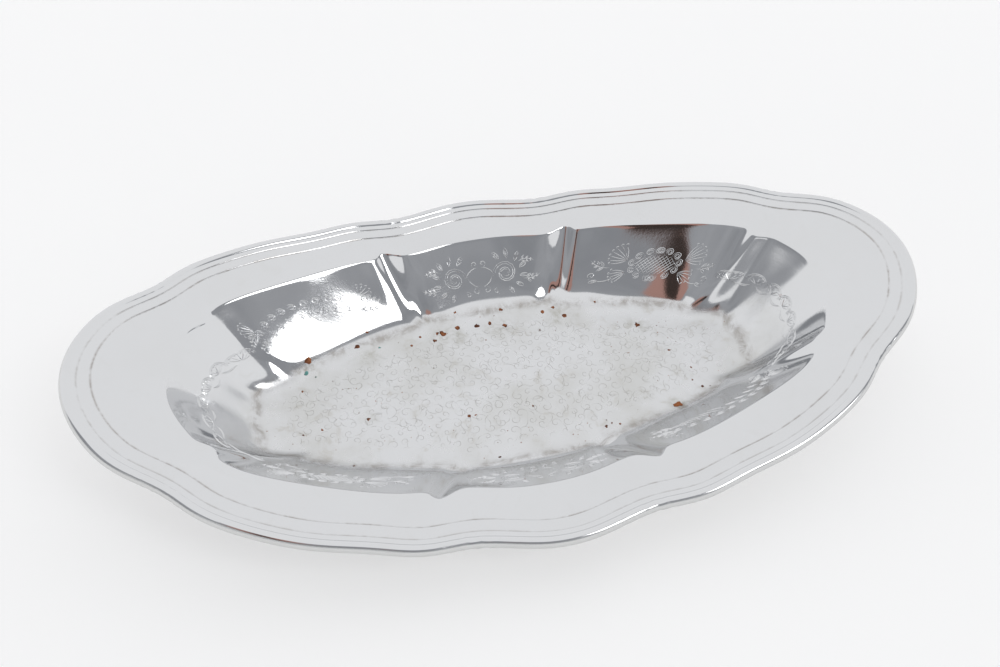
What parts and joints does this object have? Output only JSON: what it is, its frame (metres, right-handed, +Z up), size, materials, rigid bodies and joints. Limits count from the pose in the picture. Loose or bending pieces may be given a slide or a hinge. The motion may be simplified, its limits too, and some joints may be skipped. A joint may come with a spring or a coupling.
{
  "type": "oval serving dish",
  "caption": "Long oval pressed-metal serving dish with upswept ends, fluted wall, broad flange and a lobed edge rolled over a wire.",
  "frame": {"origin": "centre of the flat underside of the floor, which the dish stands on", "axes": "+X along the dish's length, +Y across it, +Z up out of the open basin"},
  "size_m": [0.341, 0.1862, 0.0489],
  "materials": {
    "plated_metal": "bright plate, finely scratched, with tarnish and rust spots",
    "wire_steel": "dull drawn wire"
  },
  "bodies": {
    "root": {"dish": "plated_metal", "edge_wire": "wire_steel"}
  },
  "joints": []
}
